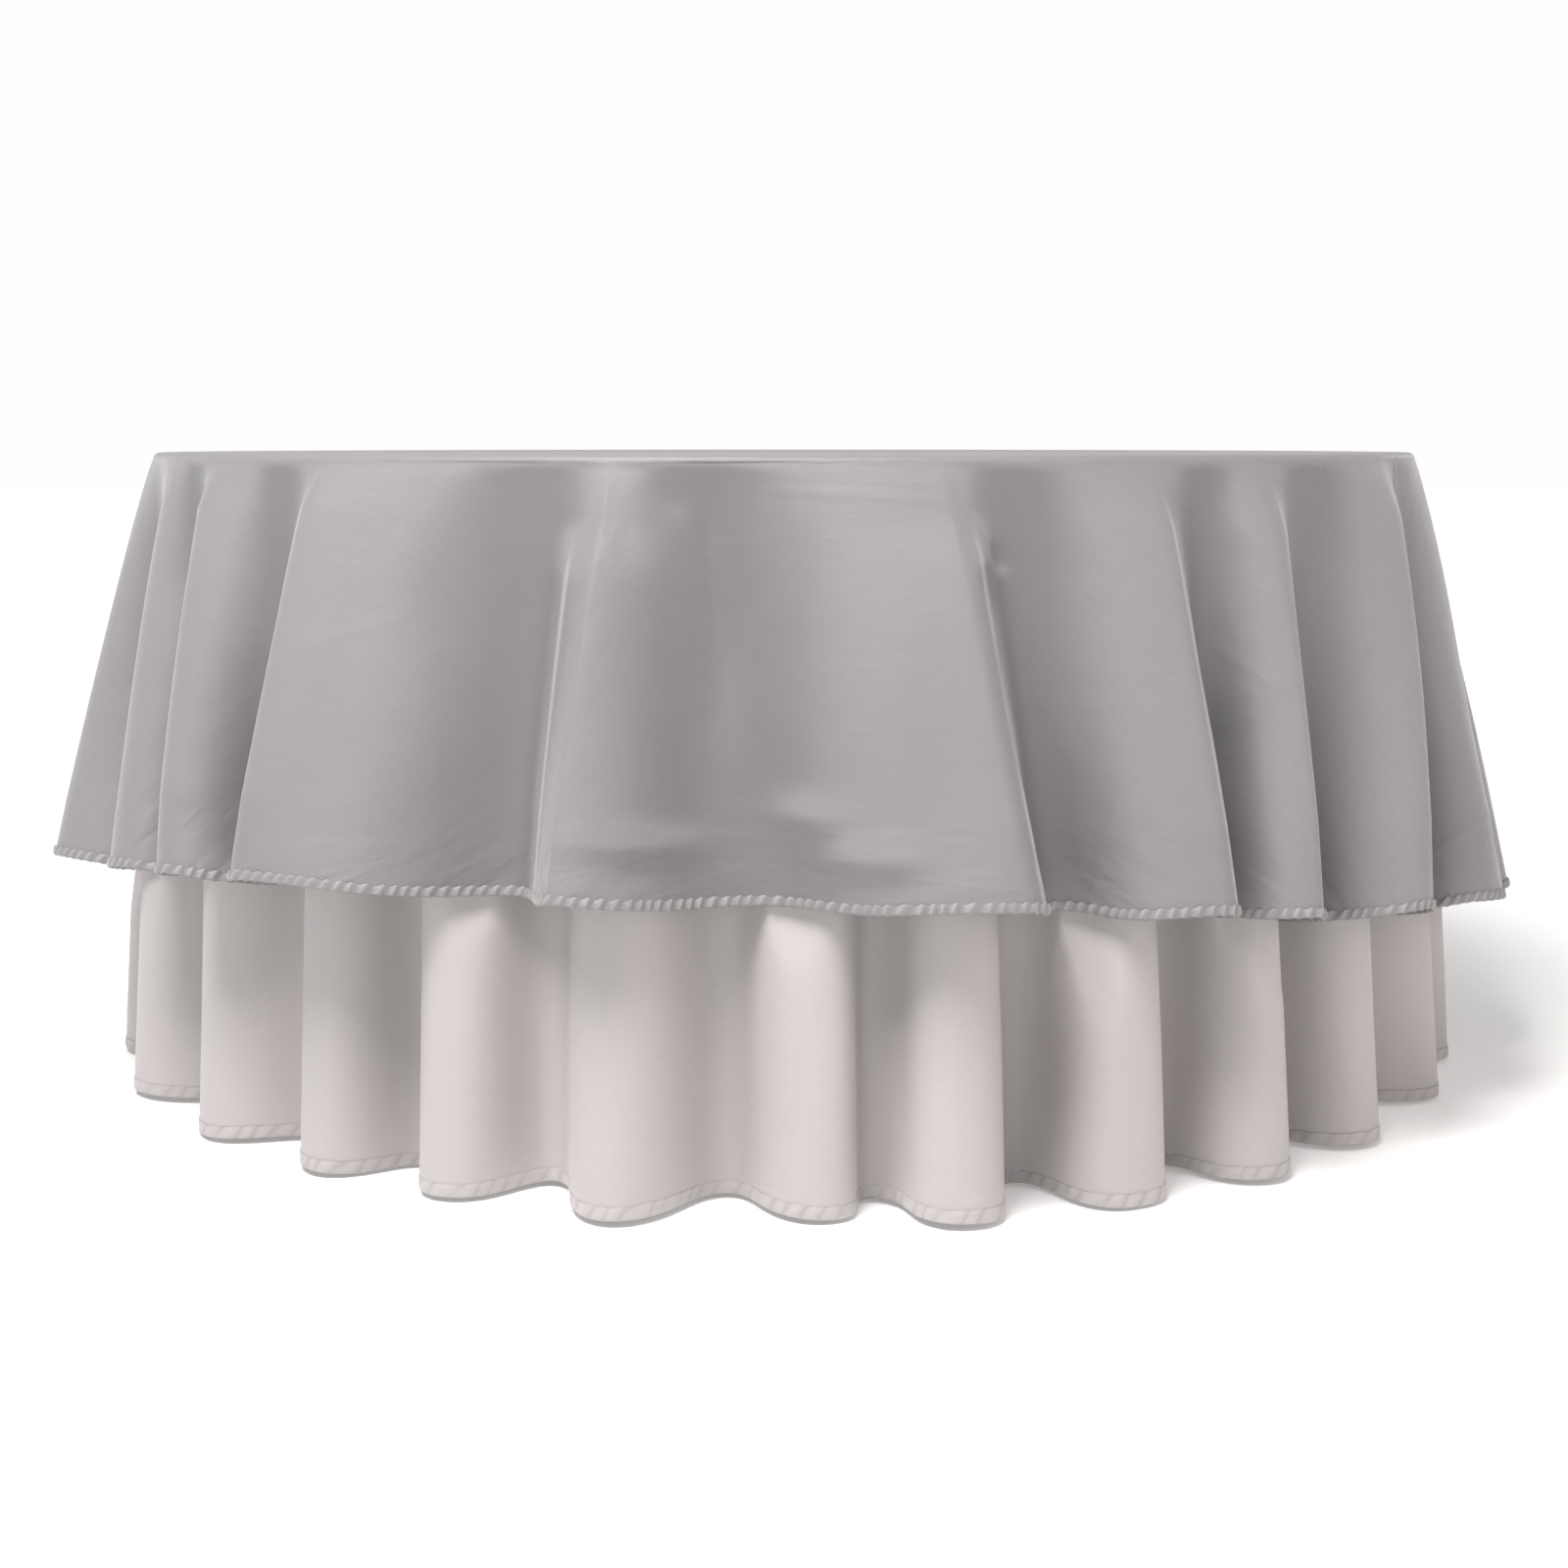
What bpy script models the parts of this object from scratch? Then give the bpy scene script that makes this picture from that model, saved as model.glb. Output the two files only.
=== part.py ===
"""A round folding table, 60 inches across, dressed with a floor-length cloth and a shorter overlay.

The origin is on the floor under the table's centre, +Z is up and -Y is the front.
Angles round the table are measured from the front, growing towards +X.
"""

import bpy
import bmesh
from math import atan2, cos, pi, radians, sin, tan
from mathutils import Matrix, Vector

GAP = 0.0003  # between neighbouring pieces

# Table top
TABLE_RADIUS = 0.762
TABLE_HEIGHT = 0.7315
PLY_THICKNESS = 0.019
BAND_THICKNESS = 0.003
RIM_SIDES = 96

# Folding leg frames: a bent tube that turns in brackets under the top
TUBE_RADIUS = 0.014
CROSSBAR_RADIUS = 0.010
PIVOT_X = 0.380
PIVOT_BAR_HALF = 0.220
FOOT_HALF = 0.360
BEND_RADIUS = 0.060
SPLAY = radians(5)
CROSSBAR_DROP = 0.300
LEFT_PIVOT_DROP = 0.042
RIGHT_PIVOT_DROP = 0.078  # deeper, so that the folded frames nest one under the other
CAP_RADIUS = 0.0175
CAP_HEIGHT = 0.045
CAP_FLOOR = 0.006
BRACKET_Y = 0.140
BRACKET_WIDTH = 0.030
BRACKET_WALL = 0.003
BRACKET_FLANGE = 0.044
BATTEN_HALF_WIDTH = 0.045
BATTEN_HALF_LENGTH = 0.240

# Two-link folding braces
BRACE_TOP_X = 0.040
BRACE_TOP_RISE = 0.022  # above the pivot bar, so that the folded crossbar passes under the link
LINK_HEIGHT = 0.020
LINK_THICKNESS = 0.004
EYE_RADIUS = 0.018
PIN_RADIUS = 0.004
TAB_REACH = 0.020
TAB_HALF = 0.006
TAB_HEIGHT = 0.004
HANGER_HALF_LENGTH = 0.014
HANGER_BASE_HALF = 0.030
HANGER_WALL = 0.003
COLLAR_RADIUS = 0.015
COLLAR_WIDTH = 0.006

# Screws
SCREW_SHANK = 0.002
SCREW_HEAD = 0.0045
SCREW_HEAD_HEIGHT = 0.002
SCREW_BITE = 0.010

# Cloths: floor-length underlay and shorter overlay
CLOTH_THICKNESS = 0.002
SKIRT_WALL = 0.003
CORNER_DROP = 0.007
UNDERLAY_EDGE_RADIUS = 0.7670
UNDERLAY_FLOOR_GAP = 0.006
UNDERLAY_VALLEY_FLARE = 0.004
UNDERLAY_RIDGE_FLARE = 0.058
OVERLAY_EDGE_RADIUS = 0.7750
OVERLAY_VALLEY_FLARE = 0.030
OVERLAY_RIDGE_FLARE = 0.116
OVERLAY_CLEARANCE = 0.009
PRESSED_BELOW_HEM = 0.10  # the overlay still presses the underlay this far under its hem
OVERLAY_DROP = 0.4925  # along the cloth, before it is laid off centre
OVERLAY_OFF_CENTRE = (0.020, 0.0625)  # to the right and to the back
OVERLAY_SLOPE = 0.975  # fall in height for each unit of drop
OVERLAY_HEM = (0.011, 0.0045)  # height and thickness
UNDERLAY_HEM = (0.014, 0.0045)
SAMPLES_PER_FOLD = 4

OVERLAY_RIDGES = [-70, -47.5, -36.5, -13, 10, 27.5, 38, 49, 60, 72, 90,
                  107, 122, 140, 158, 177, 196, 214, 233, 251, 268, 279]
UNDERLAY_RIDGES = [-78, -58.5, -46.9, -34.1, -21.4, -9.8, 3, 12, 23.7, 34.2, 46.1, 63.4,
                   78, 91, 104, 116, 129, 141, 154, 166, 178, 191, 203, 216, 228, 241, 254, 267]

PLY_UNDERSIDE = TABLE_HEIGHT - PLY_THICKNESS
UNDERLAY_TOP = TABLE_HEIGHT + GAP + CLOTH_THICKNESS
OVERLAY_TOP = UNDERLAY_TOP + GAP + CLOTH_THICKNESS


def clear_scene():
    for obj in list(bpy.data.objects):
        bpy.data.objects.remove(obj, do_unlink=True)


def material(name, colour, roughness, metallic=0.0):
    mat = bpy.data.materials.get(name) or bpy.data.materials.new(name)
    mat.use_nodes = True
    shader = mat.node_tree.nodes["Principled BSDF"]
    shader.inputs["Base Color"].default_value = (*colour, 1)
    shader.inputs["Roughness"].default_value = roughness
    shader.inputs["Metallic"].default_value = metallic
    mat.diffuse_color = (*colour, 1)
    return mat


def plywood():
    return material("plywood", (0.55, 0.38, 0.22), 0.55)


def hardwood():
    return material("hardwood", (0.42, 0.26, 0.14), 0.5)


def vinyl():
    return material("black_vinyl", (0.03, 0.03, 0.03), 0.45)


def painted_steel():
    return material("leg_paint", (0.10, 0.10, 0.11), 0.4, 0.6)


def zinc():
    return material("zinc_steel", (0.62, 0.62, 0.60), 0.35, 1.0)


def rubber():
    return material("foot_rubber", (0.02, 0.02, 0.02), 0.8)


def silver_satin():
    return material("silver_satin", (0.36, 0.35, 0.36), 0.5)


def white_cloth():
    return material("white_polyester", (0.78, 0.76, 0.76), 0.7)


def add_object(name, mesh, mat, parent=None, matrix=None):
    obj = bpy.data.objects.new(name, mesh)
    bpy.context.collection.objects.link(obj)
    obj.data.materials.append(mat)
    obj.data.shade_smooth()
    obj.data.set_sharp_from_angle(angle=radians(35))
    if parent:
        obj.parent = parent
    if matrix:
        obj.matrix_local = matrix
    return obj


def add_pivot(name, location, parent=None):
    empty = bpy.data.objects.new(name, None)
    bpy.context.collection.objects.link(empty)
    empty.location = location
    if parent:
        empty.parent = parent
    return empty


def mesh_from(name, bm):
    bmesh.ops.recalc_face_normals(bm, faces=bm.faces)
    mesh = bpy.data.meshes.new(name)
    bm.to_mesh(mesh)
    bm.free()
    return mesh


def prism(name, outline, depth, turn=Matrix()):
    """Solid of an XZ outline, centred on Y = 0 over the given depth, then turned."""
    bm = bmesh.new()
    face = bm.faces.new([bm.verts.new((x, -depth / 2, z)) for x, z in outline])
    grown = bmesh.ops.extrude_face_region(bm, geom=[face])
    moved = [v for v in grown["geom"] if isinstance(v, bmesh.types.BMVert)]
    bmesh.ops.translate(bm, verts=moved, vec=(0, depth, 0))
    bm.transform(turn)
    return mesh_from(name, bm)


def turned(name, profile, sides, turn=Matrix()):
    """Solid turned about Z from a closed profile of (radius, height) points."""
    bm = bmesh.new()
    verts = [bm.verts.new((r, 0, z)) for r, z in profile]
    closed_loop = profile[0][0] > 0 or profile[-1][0] > 0
    ends = verts + verts[:1] if closed_loop else verts
    edges = [bm.edges.new(pair) for pair in zip(ends, ends[1:])]
    bmesh.ops.spin(bm, geom=verts + edges, cent=(0, 0, 0), axis=(0, 0, 1), angle=2 * pi,
                   steps=sides, use_merge=True)
    bmesh.ops.remove_doubles(bm, verts=bm.verts, dist=1e-6)
    bm.transform(turn)
    return mesh_from(name, bm)


def cutter(name, mesh, parent, matrix):
    obj = bpy.data.objects.new(name, mesh)
    bpy.context.collection.objects.link(obj)
    obj.parent = parent
    obj.matrix_local = matrix
    obj.hide_render = True
    obj.display_type = "WIRE"
    return obj


def boolean(obj, other, operation):
    modifier = obj.modifiers.new(other.name, "BOOLEAN")
    modifier.operation = operation
    modifier.solver = "EXACT"
    modifier.object = other


# Turned pieces lie along Z; this lays them along Y.
ALONG_Y = Matrix.Rotation(-pi / 2, 4, "X")


def make_table_top():
    radius = TABLE_RADIUS - BAND_THICKNESS - GAP
    half = PLY_THICKNESS / 2
    outline = [(0, half), (radius, half), (radius, -half), (0, -half)]
    mesh = turned("table_top", outline[::-1], RIM_SIDES)
    add_object("table_top", mesh, plywood(), matrix=Matrix.Translation((0, 0, TABLE_HEIGHT - half)))


def make_edge_band():
    inner = TABLE_RADIUS - BAND_THICKNESS
    half = PLY_THICKNESS / 2
    bevel = 0.001
    outline = [
        (inner, -half),
        (TABLE_RADIUS - bevel, -half),
        (TABLE_RADIUS, -half + bevel),
        (TABLE_RADIUS, half - bevel),
        (TABLE_RADIUS - bevel, half),
        (inner, half),
    ]
    mesh = turned("edge_band", outline, RIM_SIDES)
    add_object("edge_band", mesh, vinyl(), matrix=Matrix.Translation((0, 0, TABLE_HEIGHT - half)))


def box_outline(half_width, low, high):
    return [(-half_width, low), (half_width, low), (half_width, high), (-half_width, high)]


def make_batten(side, sign, drop):
    """Hardwood under the ply that carries the brackets and bears on the pivot bar."""
    high = PLY_UNDERSIDE - GAP
    low = PLY_UNDERSIDE - drop + TUBE_RADIUS + GAP
    outline = box_outline(BATTEN_HALF_WIDTH, low, high)
    mesh = prism(f"batten_{side}", outline, 2 * BATTEN_HALF_LENGTH)
    add_object(f"batten_{side}", mesh, hardwood(), matrix=Matrix.Translation((sign * PIVOT_X, 0, 0)))


def saddle_outline():
    """Strap bent under the pivot bar, with a flange each side, around the bar's centre."""
    inner = TUBE_RADIUS + GAP
    outer = inner + BRACKET_WALL
    top = TUBE_RADIUS - GAP
    under = top - BRACKET_WALL
    arc = [pi + pi * k / 10 for k in range(11)]
    outer_arc = [(outer * cos(a), outer * sin(a)) for a in arc]
    inner_arc = [(inner * cos(a), inner * sin(a)) for a in reversed(arc)]
    left = [(-inner, top), (-BRACKET_FLANGE, top), (-BRACKET_FLANGE, under), (-outer, under)]
    right = [(outer, under), (BRACKET_FLANGE, under), (BRACKET_FLANGE, top), (inner, top)]
    return left + outer_arc + right + inner_arc


def screw_mesh():
    """Pan-head screw driven upwards: the head hangs below the face at height 0."""
    profile = [
        (0, -SCREW_HEAD_HEIGHT),
        (SCREW_HEAD * 0.7, -SCREW_HEAD_HEIGHT),
        (SCREW_HEAD, -SCREW_HEAD_HEIGHT / 2),
        (SCREW_HEAD, -GAP),
        (SCREW_SHANK, -GAP),
        (SCREW_SHANK, SCREW_BITE * 0.7),
        (0, SCREW_BITE),
    ]
    return turned("screw", profile, 10)


def add_screw(name, location, pierced):
    """A screw at the place, and its clearance hole through each pierced piece."""
    add_object(name, screw_mesh(), zinc(), matrix=Matrix.Translation(location))
    long = 2 * SCREW_BITE + 0.010
    profile = [(0, -long / 2), (SCREW_SHANK + GAP, -long / 2), (SCREW_SHANK + GAP, long / 2), (0, long / 2)]
    for piece in pierced:
        hole = cutter(f"{name}_hole_{piece.name}", turned("hole", profile, 10), None,
                      Matrix.Translation(location))
        boolean(piece, hole, "DIFFERENCE")


def make_brackets(side, sign, drop):
    pivot_z = PLY_UNDERSIDE - drop
    batten = bpy.data.objects[f"batten_{side}"]
    for end, y in (("front", -BRACKET_Y), ("back", BRACKET_Y)):
        name = f"pivot_bracket_{side}_{end}"
        mesh = prism(name, saddle_outline(), BRACKET_WIDTH)
        place = Matrix.Translation((sign * PIVOT_X, y, pivot_z))
        bracket = add_object(name, mesh, zinc(), matrix=place)
        for where, dx in (("inner", -sign), ("outer", sign)):
            x = sign * PIVOT_X + dx * (BRACKET_FLANGE - 0.013)
            face = pivot_z + TUBE_RADIUS - GAP - BRACKET_WALL
            add_screw(f"bracket_screw_{side}_{end}_{where}", (x, y, face), [bracket, batten])


def rounded_path(corners, radius, steps=6):
    """Points of an open route whose inner corners are arcs of the radius."""
    points = [corners[0]]
    for before, corner, after in zip(corners, corners[1:], corners[2:]):
        one, two = (before - corner).normalized(), (after - corner).normalized()
        half = one.angle(two) / 2
        setback = radius / tan(half)
        centre = corner + (one + two).normalized() * radius / sin(half)
        start, stop = corner + one * setback - centre, corner + two * setback - centre
        axis, swept = start.cross(stop), start.angle(stop)
        points += [centre + Matrix.Rotation(swept * k / steps, 3, axis) @ start for k in range(steps + 1)]
    return points + [corners[-1]]


def tube_mesh(name, points, radius, resolution=2):
    curve = bpy.data.curves.new(name, "CURVE")
    curve.dimensions = "3D"
    curve.bevel_depth = radius
    curve.bevel_resolution = resolution
    curve.use_fill_caps = True
    spline = curve.splines.new("POLY")
    spline.points.add(len(points) - 1)
    for point, place in zip(spline.points, points):
        point.co = (*place, 1)
    source = bpy.data.objects.new(name, curve)
    bpy.context.collection.objects.link(source)
    mesh = bpy.data.meshes.new_from_object(source)
    bpy.data.objects.remove(source)
    bm = bmesh.new()
    bm.from_mesh(mesh)
    bmesh.ops.remove_doubles(bm, verts=bm.verts, dist=1e-5)
    bpy.data.meshes.remove(mesh)
    return mesh_from(name, bm)


def leg_length(pivot_z):
    """From the pivot bar's centre line to the tube's lower end, along the splayed leg."""
    return (pivot_z - CAP_FLOOR - TUBE_RADIUS * sin(SPLAY)) / cos(SPLAY) - GAP


def make_leg_frame(side, sign, drop):
    """The frame, made flat in its own plane below the pivot, then splayed outwards."""
    pivot_z = PLY_UNDERSIDE - drop
    pivot = add_pivot(f"leg_pivot_{side}", (sign * PIVOT_X, 0, pivot_z))
    pivot.rotation_euler = (0, sign * -SPLAY, 0)
    length = leg_length(pivot_z)
    corners = [
        Vector((0, -FOOT_HALF, -length)),
        Vector((0, -PIVOT_BAR_HALF, 0)),
        Vector((0, PIVOT_BAR_HALF, 0)),
        Vector((0, FOOT_HALF, -length)),
    ]
    bar = tube_mesh(f"leg_frame_{side}", rounded_path(corners, BEND_RADIUS), TUBE_RADIUS)
    frame = add_object(f"leg_frame_{side}", bar, painted_steel(), pivot)
    reach = PIVOT_BAR_HALF + (FOOT_HALF - PIVOT_BAR_HALF) * CROSSBAR_DROP / length
    ends = [Vector((0, -reach, -CROSSBAR_DROP)), Vector((0, reach, -CROSSBAR_DROP))]
    cross = cutter(f"crossbar_{side}", tube_mesh("crossbar", ends, CROSSBAR_RADIUS), pivot, Matrix())
    boolean(frame, cross, "UNION")
    for end, way in (("front", -1), ("back", 1)):
        make_foot_cap(f"foot_cap_{side}_{end}", pivot, way, length)
        collar_place = Matrix.Translation((0, way * (LINK_THICKNESS + GAP + COLLAR_WIDTH / 2 + 0.001),
                                           -CROSSBAR_DROP))
        make_collar(f"brace_collar_{side}_{end}", pivot, collar_place)
    return pivot


def make_collar(name, pivot, place):
    half = COLLAR_WIDTH / 2
    inner = CROSSBAR_RADIUS + GAP
    profile = [(inner, -half), (COLLAR_RADIUS, -half), (COLLAR_RADIUS, half), (inner, half)]
    add_object(name, turned(name, profile, 16, ALONG_Y), rubber(), pivot, place)


def make_foot_cap(name, pivot, way, length):
    """Blind cap pushed over the tube's end, cut level with the floor."""
    lean = atan2(FOOT_HALF - PIVOT_BAR_HALF, length)
    below = 0.020
    inner = TUBE_RADIUS + GAP
    profile = [
        (0, -below),
        (CAP_RADIUS * 0.8, -below),
        (CAP_RADIUS, -below + 0.002),
        (CAP_RADIUS, CAP_HEIGHT - 0.002),
        (CAP_RADIUS - 0.001, CAP_HEIGHT),
        (inner, CAP_HEIGHT),
        (inner, -GAP),
        (0, -GAP),
    ]
    place = Matrix.Translation((0, way * FOOT_HALF, -length)) @ Matrix.Rotation(way * lean, 4, "X")
    cap = add_object(name, turned(name, profile, 16), rubber(), pivot, place)
    ground = prism(f"{name}_ground", box_outline(0.1, -0.1, 0), 0.2)
    under_foot = Matrix.Translation((pivot.location.x * 1.15, way * FOOT_HALF, 0))
    level = cutter(f"{name}_ground", ground, None, under_foot)
    boolean(cap, level, "DIFFERENCE")


def brace_geometry(sign, drop):
    """Ends of the straight brace in XZ, and the lengths that lay the upper link level when folded."""
    pivot = Vector((sign * PIVOT_X, PLY_UNDERSIDE - drop))
    top = Vector((sign * BRACE_TOP_X, pivot.y + BRACE_TOP_RISE))
    low = pivot + CROSSBAR_DROP * Vector((sign * sin(SPLAY), -cos(SPLAY)))
    span = (top - low).length
    beside = PIVOT_X - CROSSBAR_DROP - BRACE_TOP_X
    upper = (span ** 2 - beside ** 2 - BRACE_TOP_RISE ** 2) / (2 * (span - beside))
    return top, low, upper, span - upper


def link_outline(length, end_radius, tail=0.0):
    """Flat bar from a round end at the origin to a plain end past `length`, along +X."""
    half = LINK_HEIGHT / 2
    meet = (end_radius ** 2 - half ** 2) ** 0.5 if end_radius > half else 0
    start = atan2(half, meet)
    arc = [start + (2 * pi - 2 * start) * k / 12 for k in range(13)]
    round_end = [(end_radius * cos(a), end_radius * sin(a)) for a in arc]
    tip = [(length + tail + half * sin(pi * k / 6), -half * cos(pi * k / 6)) for k in range(7)]
    return round_end + tip


def add_hole(piece, name, parent, x, radius):
    half = 0.03
    profile = [(0, -half), (radius, -half), (radius, half), (0, half)]
    place = Matrix.Translation((x, 0, 0))
    hole = cutter(name, turned("hole", profile, 16, ALONG_Y), parent, place)
    boolean(piece, hole, "DIFFERENCE")


def headed_pin(name, parent, x, half_length):
    """Pin along Y: a shank with a round head at each end."""
    head, rise = PIN_RADIUS * 1.7, 0.0018
    profile = [
        (0, -half_length - rise),
        (head * 0.7, -half_length - rise),
        (head, -half_length),
        (PIN_RADIUS, -half_length),
        (PIN_RADIUS, half_length),
        (head, half_length),
        (head * 0.7, half_length + rise),
        (0, half_length + rise),
    ]
    add_object(name, turned(name, profile, 12, ALONG_Y), zinc(), parent, Matrix.Translation((x, 0, 0)))


def rivet_half(name, parent, x):
    """Half of the knuckle rivet: a shank in its own link's hole, with a head on the outer face."""
    head, rise = PIN_RADIUS * 1.7, 0.0018
    face = LINK_THICKNESS + 2 * GAP
    profile = [
        (0, GAP),
        (PIN_RADIUS, GAP),
        (PIN_RADIUS, face),
        (head, face),
        (head * 0.7, face + rise),
        (0, face + rise),
    ]
    add_object(name, turned(name, profile, 12, ALONG_Y), zinc(), parent, Matrix.Translation((x, 0, 0)))


def along(origin, direction):
    """Matrix at the origin with local +X along an XZ direction and local +Z on its upper side."""
    x = Vector((direction.x, 0, direction.y)).normalized()
    z = Vector((-x.z, 0, x.x)) if x.x > 0 else Vector((x.z, 0, -x.x))
    y = z.cross(x)
    turn = Matrix((x, y, z)).transposed().to_4x4()
    return Matrix.Translation((origin.x, 0, origin.y)) @ turn


def make_upper_link(side, parent, length):
    """Link from the hanger pin past the knuckle, ending in a tab that stops the lower link."""
    name = f"brace_upper_link_{side}"
    bar = prism(name, link_outline(length, LINK_HEIGHT / 2, TAB_REACH), LINK_THICKNESS)
    place = Matrix.Translation((0, LINK_THICKNESS / 2 + GAP, 0))
    link = add_object(name, bar, painted_steel(), parent, place)
    tab = prism("tab", box_outline(TAB_HALF, LINK_HEIGHT / 2 + GAP, LINK_HEIGHT / 2 + TAB_HEIGHT),
                2 * LINK_THICKNESS + 2 * GAP)
    stem = prism("stem", box_outline(TAB_HALF, -TAB_HALF, LINK_HEIGHT / 2 + TAB_HEIGHT - GAP),
                 LINK_THICKNESS / 2)
    end = length + TAB_REACH - TAB_HALF
    tab_piece = cutter(f"stop_tab_{side}", tab, parent, Matrix.Translation((end, 0, 0)))
    stem_piece = cutter(f"stop_stem_{side}", stem, parent,
                        Matrix.Translation((end, LINK_THICKNESS / 2 + GAP, 0)))
    boolean(link, stem_piece, "UNION")
    boolean(link, tab_piece, "UNION")
    add_hole(link, f"hanger_hole_{side}", parent, 0, PIN_RADIUS + GAP)
    add_hole(link, f"knuckle_hole_{side}", parent, length, PIN_RADIUS + GAP)


def make_lower_link(side, parent, length):
    """Link from an eye round the crossbar to the knuckle."""
    name = f"brace_lower_link_{side}"
    bar = prism(name, link_outline(length, EYE_RADIUS), LINK_THICKNESS)
    place = Matrix.Translation((0, LINK_THICKNESS / 2 + GAP, 0))
    link = add_object(name, bar, painted_steel(), parent, place)
    add_hole(link, f"eye_hole_{side}", parent, 0, CROSSBAR_RADIUS + GAP)
    add_hole(link, f"lower_knuckle_hole_{side}", parent, length, PIN_RADIUS + GAP)


def make_hanger(side, centre_y, top):
    """Folded steel channel screwed under the ply, with a cheek each side of the upper link."""
    name = f"brace_hanger_{side}"
    inner = LINK_THICKNESS / 2 + GAP
    outer = inner + HANGER_WALL
    ceiling = PLY_UNDERSIDE - GAP - top.y
    floor = -0.010
    outline = [
        (-HANGER_BASE_HALF, ceiling),
        (-HANGER_BASE_HALF, ceiling - HANGER_WALL),
        (-outer, ceiling - HANGER_WALL),
        (-outer, floor),
        (-inner, floor),
        (-inner, ceiling - HANGER_WALL),
        (inner, ceiling - HANGER_WALL),
        (inner, floor),
        (outer, floor),
        (outer, ceiling - HANGER_WALL),
        (HANGER_BASE_HALF, ceiling - HANGER_WALL),
        (HANGER_BASE_HALF, ceiling),
    ]
    quarter = Matrix.Rotation(pi / 2, 4, "Z")
    mesh = prism(name, outline, 2 * HANGER_HALF_LENGTH, quarter)
    hanger = add_object(name, mesh, zinc(), matrix=Matrix.Translation((top.x, centre_y, top.y)))
    hole_place = add_pivot(f"hanger_place_{side}", (top.x, 0, top.y))
    add_hole(hanger, f"hanger_pin_hole_{side}", hole_place, 0, PIN_RADIUS + GAP)
    ply = bpy.data.objects["table_top"]
    face = PLY_UNDERSIDE - GAP - HANGER_WALL
    for end, way in (("front", -1), ("back", 1)):
        y = centre_y + way * (HANGER_BASE_HALF - 0.008)
        add_screw(f"hanger_screw_{side}_{end}", (top.x, y, face), [hanger, ply])


def make_brace(side, sign, drop):
    """Upper link from the hanger, lower link from the crossbar, riveted at the knuckle."""
    top, low, upper, lower = brace_geometry(sign, drop)
    top_pivot = add_pivot(f"brace_top_pivot_{side}", (0, 0, 0))
    top_pivot.matrix_local = along(top, low - top)
    low_pivot = add_pivot(f"brace_low_pivot_{side}", (0, 0, 0))
    low_pivot.matrix_local = along(low, top - low)
    make_upper_link(side, top_pivot, upper)
    make_lower_link(side, low_pivot, lower)
    centre_y = sign * (LINK_THICKNESS / 2 + GAP)
    make_hanger(side, centre_y, top)
    pin_place = add_pivot(f"hanger_pin_place_{side}", (top.x, centre_y, top.y))
    headed_pin(f"hanger_pin_{side}", pin_place, 0, LINK_THICKNESS / 2 + HANGER_WALL + 3 * GAP)
    rivet_half(f"knuckle_rivet_post_{side}", top_pivot, upper)
    rivet_half(f"knuckle_rivet_screw_{side}", low_pivot, lower)


def between_ridges(angle, ridges):
    """1 on a ridge, 0 halfway to the next, from a raised cosine."""
    turns = ridges + [ridges[0] + 360]
    angle = (angle - ridges[0]) % 360 + ridges[0]
    for low, high in zip(turns, turns[1:]):
        if low <= angle <= high:
            return 0.5 + 0.5 * cos(2 * pi * (angle - low) / (high - low))
    return 1.0


def sample_angles(ridges):
    angles = []
    for low, high in zip(ridges, ridges[1:] + [ridges[0] + 360]):
        angles += [low + (high - low) * k / SAMPLES_PER_FOLD for k in range(SAMPLES_PER_FOLD)]
    return angles


def skirt_growth(z, top, hem):
    """How far a fold has opened: 0 at the table's edge, 1 at the hem."""
    t = max(0.0, min(1.0, (top - z) / (top - hem)))
    return t ** 0.8


def overlay_hem_height(angle):
    right, back = OVERLAY_OFF_CENTRE
    drop = OVERLAY_DROP + right * sin(radians(angle)) - back * cos(radians(angle))
    return OVERLAY_TOP - OVERLAY_SLOPE * drop


def overlay_base_radius(z):
    grown = skirt_growth(z, OVERLAY_TOP, overlay_hem_height(0))
    return OVERLAY_EDGE_RADIUS + OVERLAY_VALLEY_FLARE * grown


def overlay_radius(angle, z):
    grown = skirt_growth(z, OVERLAY_TOP, overlay_hem_height(0))
    extra = (OVERLAY_RIDGE_FLARE - OVERLAY_VALLEY_FLARE) * between_ridges(angle, OVERLAY_RIDGES)
    return overlay_base_radius(z) + extra * grown


def underlay_hem_height(angle):
    return UNDERLAY_FLOOR_GAP


def underlay_radius(angle, z):
    """Folds that the overlay presses flat where it covers them."""
    grown = skirt_growth(z, UNDERLAY_TOP, UNDERLAY_FLOOR_GAP)
    ridge = between_ridges(angle, UNDERLAY_RIDGES)
    flare = UNDERLAY_VALLEY_FLARE + (UNDERLAY_RIDGE_FLARE - UNDERLAY_VALLEY_FLARE) * ridge
    free = UNDERLAY_EDGE_RADIUS + flare * grown
    covered = z > overlay_hem_height(angle) - PRESSED_BELOW_HEM
    return min(free, overlay_base_radius(z) - OVERLAY_CLEARANCE) if covered else free


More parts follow.
